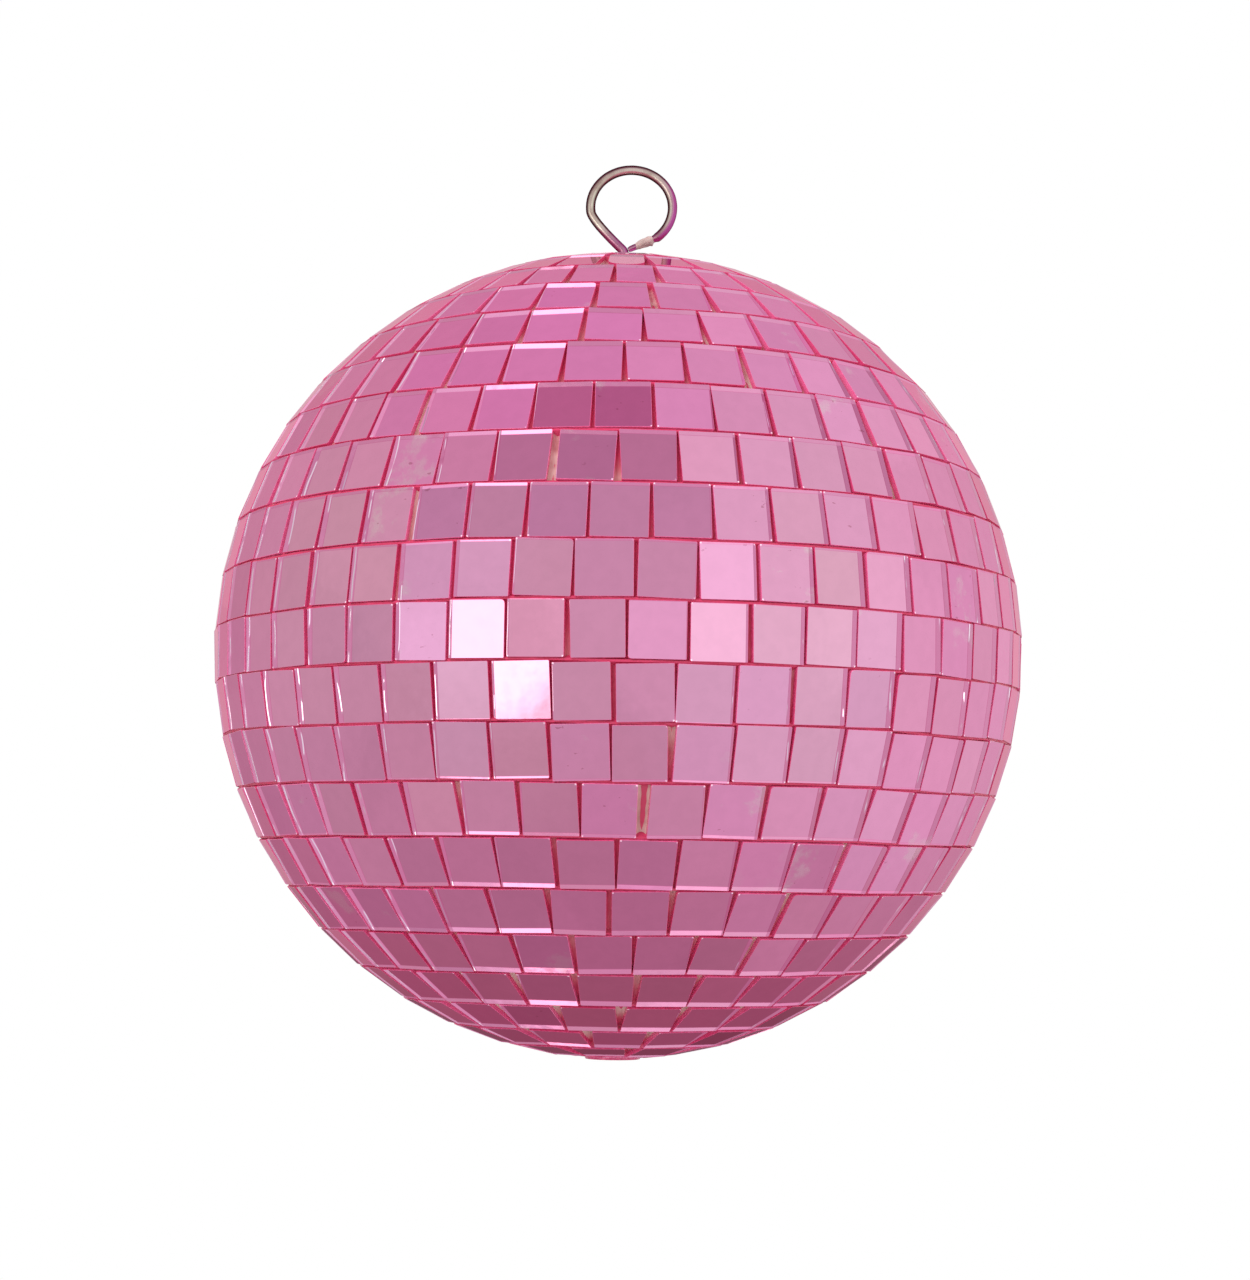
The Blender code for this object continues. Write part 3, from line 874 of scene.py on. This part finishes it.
def turned(name, profile, sides, material, body, node):
    """A solid of revolution about Z. The profile lists (radius, z) round its section, or from
    pole to pole."""
    bm = bmesh.new()
    rings = []
    for radius, z in profile:
        points = circle(sides) if radius else [Vector((0, 0))]
        rings.append([bm.verts.new((*point * radius, z)) for point in points])
    if profile[0][0] > 0:
        rings.append(rings[0])
    for lower, upper in zip(rings, rings[1:]):
        band(bm, lower, upper)
    return finished(name, bm, [material], body, node, smooth_angle=35)


def filleted(points, radius, steps=3):
    """A closed section with every corner rounded off."""
    corners = [Vector(p) for p in points]
    rounded = []
    for i, corner in enumerate(corners):
        before, after = corners[i - 1], corners[(i + 1) % len(corners)]
        room = min((before - corner).length, (after - corner).length) * 0.45
        rounded += corner_arc(before, corner, after, min(radius, room), steps)
    return [tuple(p) for p in rounded]


def cylinder_box(node):
    low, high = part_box(node)
    return (high.x - low.x) / 2, low.z, high.z


def collar(outer, inner, low, high):
    """The section of a ring with square edges."""
    return [(outer, high), (outer, low), (inner, low), (inner, high)]


def hanger(plastic, zinc, nylon, aluminium):
    radius, low, high = cylinder_box("hanger_bush")
    under = high - FLANGE
    flange = [(radius, high), (radius, under)]
    neck = [(NECK, under), (NECK, low), (BORE, low), (BORE, high)]
    section = filleted(flange + neck, 0.4 * MM, 4)
    turned("bush", section, 64, plastic, "ball", "hanger_bush")

    radius, low, high = cylinder_box("spreader_plate")
    section = filleted(collar(radius, HOLE, low, high), 0.3 * MM)
    turned("plate", section, 72, zinc, "ball", "spreader_plate")

    radius, low, high = cylinder_box("swivel_washer")
    section = filleted(collar(radius, BORE, low, high), 0.25 * MM)
    turned("washer_disc", section, 56, nylon, "washer", "swivel_washer")

    radius, low, high = cylinder_box("stop_ferrule")
    section = []
    for i in range(FERRULE_STEPS + 1):
        t = i / FERRULE_STEPS
        dent = CRIMP_DEPTH * sum(math.exp(-(((t - c) / CRIMP_WIDTH) ** 2)) for c in CRIMPS)
        end = 1 - 0.12 * max(0.0, abs(t - 0.5) * 2 - 0.86) / 0.14
        section.append((radius * end * (1 - dent), high + (low - high) * t))
    inner = WIRE + 0.05 * MM
    section += [(inner, low), (inner, high)]
    turned("ferrule", section, 48, aluminium, "loop", "stop_ferrule")


def nut(plastic):
    """A hexagonal nut with its corners turned off at both faces."""
    low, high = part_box("bush_nut")
    radius, height = (high.x - low.x) / 2, high.z - low.z
    outward = circle(NUT_SIDES)
    sixth = math.radians(60)
    flats = []
    for out in outward:
        from_flat = math.atan2(out.y, out.x) % sixth - sixth / 2
        flats.append(radius * math.cos(sixth / 2) / math.cos(from_flat))
    sections = []
    for j in range(NUT_LEVELS + 1):
        t = j / NUT_LEVELS
        turned_off = max(0.0, NUT_CHAMFER - min(t, 1 - t) * height) * 1.3
        sections.append((t, [min(flat, radius - turned_off) for flat in flats]))
    sections += [(t, [HOLE] * NUT_SIDES) for t in (1.0, 0.5, 0.0)]
    bm = bmesh.new()
    rings = [
        [bm.verts.new((*out * reach, low.z + height * t)) for out, reach in zip(outward, reaches)]
        for t, reaches in sections
    ]
    for lower, upper in zip(rings, rings[1:] + rings[:1]):
        band(bm, lower, upper)
    return finished("nut", bm, [plastic], "ball", "bush_nut", smooth_angle=30)


def arc(radius, first, last):
    """Part of a circle round the ball's centre, as a section."""
    angles = [first + (last - first) * i / CORE_STEPS for i in range(CORE_STEPS + 1)]
    return [(radius * math.cos(a), radius * math.sin(a)) for a in angles]


def core(plastic):
    """The two shells, turned finely, with the CAD's lap joint between them."""
    low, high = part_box("core_upper")
    outer = (high.x - low.x) / 2
    inner = outer - CORE_WALL
    middle = (outer + inner) / 2
    half_gap = CORE_GAP / 2

    upper = arc(outer, math.acos(HOLE / outer), math.asin(half_gap / outer))
    upper += [(middle + half_gap, half_gap), (middle + half_gap, CORE_LAP)]
    upper += arc(inner, math.asin(CORE_LAP / inner), math.acos(HOLE / inner))
    turned("shell_upper", upper, 96, plastic, "ball", "core_upper")

    lip = CORE_LAP - CORE_GAP
    lower = [(0, -inner)]
    lower += arc(inner, -math.pi / 2, math.asin(lip / inner))[1:]
    lower += [(middle - half_gap, lip), (middle - half_gap, -half_gap)]
    lower += arc(outer, -math.asin(half_gap / outer), -math.pi / 2)[:-1]
    lower += [(0, -outer)]
    turned("shell_lower", lower, 96, plastic, "ball", "core_lower")


def bottom_mirror(materials):
    """The round mirror at the lower pole, cut and ground as the tiles are."""
    radius, low, high = cylinder_box("bottom_disc")
    row = TileRow()
    outline = [p * radius for p in circle(48)]
    place = (Z_AXIS * low, Vector((1, 0, 0)), -Y_AXIS, -Z_AXIS)
    row.glass(place, outline, (0.1, 0.0), ARRIS * 2, ARRIS, high - low)
    finished("mirror_disc", row.bm, materials, "ball", "bottom_disc")


# Studio


def bearing(azimuth, elevation):
    """A direction, by its angle round from the camera's side to the right and its height."""
    a, e = math.radians(azimuth), math.radians(elevation)
    return Vector((math.sin(a) * math.cos(e), -math.cos(a) * math.cos(e), math.sin(e)))


def card(nodes, ray, azimuth, elevation, half_width, half_height, roll, soft):
    """How far a ray points into a soft-edged rectangle far off. Its sizes are in degrees, and
    roll turns its width towards its height."""
    ahead = bearing(azimuth, elevation)
    turn = Matrix.Rotation(math.radians(roll), 3, ahead)
    across = turn @ bearing(azimuth + 90, 0)
    up = turn @ bearing(azimuth, elevation + 90)
    depth = nodes.dot(ray, ahead)
    inside = nodes.math("GREATER_THAN", depth, 0.05)
    depth = nodes.math("MAXIMUM", depth, 0.05)
    for axis, half in ((across, half_width), (up, half_height)):
        off = nodes.math("ABSOLUTE", nodes.over(nodes.dot(ray, axis), depth))
        outer = math.tan(math.radians(half + soft))
        inner = math.tan(math.radians(half - soft))
        inside = nodes.times(inside, nodes.smooth(off, outer, inner))
    return inside


# What the mirrors see, by the height of the ray, on the left and on the right of the camera
LEFT_WALL = (
    (0.00, (0.44, 0.28, 0.38)),
    (0.16, (0.54, 0.42, 0.51)),
    (0.33, (0.56, 0.51, 0.56)),
    (0.50, (0.61, 0.61, 0.62)),
    (0.75, (0.66, 0.67, 0.65)),
    (0.89, (0.69, 0.475, 0.64)),
    (1.00, (0.725, 0.43, 0.70)),
)
RIGHT_WALL = (
    (0.00, (0.44, 0.28, 0.38)),
    (0.12, (0.65, 0.53, 0.64)),
    (0.27, (0.74, 0.80, 0.84)),
    (0.50, (0.83, 0.98, 0.95)),
    (0.68, (0.85, 0.95, 0.92)),
    (0.86, (0.80, 0.83, 0.87)),
    (1.00, (0.80, 0.64, 0.83)),
)
# Things in the room, in the order that they cover each other: azimuth, elevation, half width,
# half height, roll, softness, colour, how much it covers
CARDS = (
    (-17, 67, 14, 8, 0, 0.8, (0.50, 0.26, 0.40), 1.0),
    (-19, 52, 24, 8, 0, 0.8, (0.50, 0.37, 0.47), 1.0),
    (-17, 37, 36, 7.5, 0, 0.8, (0.56, 0.50, 0.58), 1.0),
    (4, 3, 14, 25, 0, 1.0, (0.65, 0.62, 0.68), 1.0),
    (-45, 14, 14, 9, 0, 5, (0.72, 0.80, 0.84), 0.8),
    (-50, -6, 10, 9, 0, 1.5, (0.88, 1.03, 1.05), 1.0),
    (-21, 3, 4, 4, 0, 1.0, (0.80, 0.76, 0.80), 1.0),
    (12, 2, 4, 4, 0, 1.0, (0.87, 0.84, 0.96), 1.0),
    (105, 5, 20, 32, 0, 10, (0.82, 0.74, 0.84), 0.9),
    (29, 8, 7, 15, 0, 1.0, (1.05, 1.20, 1.20), 1.0),
    (-78, 6, 6, 8, 0, 2, (0.52, 0.52, 0.58), 0.8),
    (-28, 22, 8, 6, 0, 2, (0.72, 0.77, 0.79), 0.9),
    (-40, -22, 18, 8, 0, 3, (0.65, 0.69, 0.72), 1.0),
    (-30, -38, 32, 8, 0, 3, (0.60, 0.55, 0.58), 1.0),
    (105, -52, 18, 8, 0, 3, (0.54, 0.42, 0.50), 1.0),
    (-33, -5, 13, 7.5, -56, 0.8, (2.2, 2.2, 2.1), 1.0),
)
# Wide soft patches behind the ball: azimuth, elevation, the cosines of the angles from there
# where it starts and where it is full, colour, how much it covers
GLOOM = (
    (180, -42, 0.60, 1.0, (0.32, 0.15, 0.20), 0.9),
    (180, 8, 0.78, 0.95, (0.82, 0.53, 0.59), 0.85),
    (180, -12, 0.94, 0.985, (0.20, 0.07, 0.11), 0.9),
)
WHITE = (1.0, 1.0, 1.0)
DULL_STRENGTH = 0.8  # of the white that lights what isn't a mirror
FLOOR_RADIUS = 1.15
FLOOR_HEIGHT = -0.30
FLOOR_GREY = (0.88, 0.88, 0.88)
FLOOR_PALE = (0.92, 0.92, 0.92)


def room_light():
    """White for the camera and for what is dull, and a softly lit room for the mirrors."""
    world = bpy.data.worlds.new("studio")
    bpy.context.scene.world = world
    world.use_nodes = True
    nodes = Nodes(world.node_tree)
    background = world.node_tree.nodes["Background"]
    ray = nodes.vector("NORMALIZE", nodes.add("TexCoord").outputs["Generated"])
    across, _, height = nodes.split(ray)
    height = nodes.plus(nodes.times(height, 0.5), 0.5)
    to_right = nodes.smooth(across, -0.55, 0.6)
    room = nodes.blend(to_right, nodes.ramp(height, LEFT_WALL), nodes.ramp(height, RIGHT_WALL))
    for azimuth, elevation, start, full, colour, cover in GLOOM:
        facing = nodes.dot(ray, bearing(azimuth, elevation))
        inside = nodes.smooth(facing, start, full, 0.0, cover)
        room = nodes.blend(inside, room, rgb(colour))
    for *shape, colour, cover in CARDS:
        inside = nodes.times(card(nodes, ray, *shape), cover)
        room = nodes.blend(inside, room, rgb(colour))
    clutter = nodes.smooth(nodes.noise(3.2, 5.0, ray, 0.62), 0.25, 0.75, 0.95, 1.05)
    room = nodes.scaled(room, clutter)
    panels = nodes.add("TexVoronoi", {"Vector": ray, "Scale": 5.5}).outputs["Color"]
    room = nodes.scaled(room, nodes.smooth(nodes.split(panels)[0], 0.1, 0.9, 0.94, 1.05))

    path = nodes.add("LightPath").outputs
    seen_by_mirror = path["Is Glossy Ray"]
    colour = nodes.blend(seen_by_mirror, rgb(WHITE), room)
    soft = nodes.math("MAXIMUM", path["Is Camera Ray"], seen_by_mirror)
    nodes.feed(background.inputs["Color"], colour)
    strength = nodes.smooth(soft, 0.0, 1.0, DULL_STRENGTH, 1.0)
    nodes.feed(background.inputs["Strength"], strength)


def soft_box(name, azimuth, elevation, distance, size, watts):
    light = bpy.data.lights.new(name, "AREA")
    light.size = size
    light.energy = watts
    lamp = bpy.data.objects.new(name, light)
    towards = bearing(azimuth, elevation)
    lamp.location = towards * distance
    lamp.rotation_mode = "QUATERNION"
    lamp.rotation_quaternion = towards.to_track_quat("Z", "Y")
    lamp.visible_glossy = False
    bpy.context.scene.collection.objects.link(lamp)


def floor():
    """A pale round floor below the hanging ball."""
    bm = bmesh.new()
    bmesh.ops.create_circle(bm, cap_ends=True, segments=96, radius=FLOOR_RADIUS)
    data = bpy.data.meshes.new("floor")
    bm.to_mesh(data)
    bm.free()
    mat, nodes, shader = new_material("floor_paper")
    fibres = nodes.noise(60.0, 4.0)
    nodes.feed(shader["Base Color"], nodes.ramp(fibres, ((0.3, FLOOR_GREY), (0.7, FLOOR_PALE))))
    shader["Roughness"].default_value = 0.9
    data.materials.append(mat)
    ground = bpy.data.objects.new("floor", data)
    ground.location.z = FLOOR_HEIGHT
    ground.visible_glossy = False
    bpy.context.scene.collection.objects.link(ground)


def camera():
    data = bpy.data.cameras.new("camera")
    data.lens = LENS
    data.sensor_width = SENSOR
    data.sensor_fit = "AUTO"
    data.shift_x, data.shift_y = VIEW_SHIFT
    data.clip_start = NEAREST
    eye = bpy.data.objects.new("camera", data)
    bpy.context.scene.collection.objects.link(eye)
    towards = bearing(0, VIEW_ELEVATION)
    turn = towards.to_track_quat("Z", "Y").to_matrix()
    eye.matrix_world = (
        Matrix.Translation(towards * VIEW_DISTANCE)
        @ turn.to_4x4()
        @ Matrix.Rotation(VIEW_ROLL, 4, "Z")
    )
    bpy.context.scene.camera = eye


def main():
    glass, cut, bed = mirror_glass(), cut_glass(), tile_glue()
    white = moulded_plastic("bush_plastic", (0.74, 0.70, 0.68), (0.86, 0.83, 0.81), 0.4)
    tile_rows([glass, cut, bed])
    bottom_mirror([glass, cut])
    hanging_loop(drawn_wire())
    loop_bead(loop_glue())
    core(moulded_plastic("core_plastic", (0.56, 0.38, 0.33), (0.74, 0.55, 0.48), 0.65))
    hanger(
        white,
        plated_metal("zinc_steel", (0.42, 0.42, 0.45), (0.66, 0.66, 0.68), 0.34, 320.0),
        moulded_plastic("washer_nylon", (0.78, 0.76, 0.70), (0.90, 0.89, 0.84), 0.5),
        plated_metal("ferrule_aluminium", (0.60, 0.60, 0.62), (0.80, 0.80, 0.82), 0.3, 900.0),
    )
    nut(white)

    room_light()
    soft_box("key", azimuth=-35, elevation=35, distance=1.4, size=0.9, watts=14)
    soft_box("fill", azimuth=60, elevation=20, distance=1.6, size=1.2, watts=10)
    floor()
    camera()
    bpy.context.scene.view_settings.view_transform = "Standard"


main()
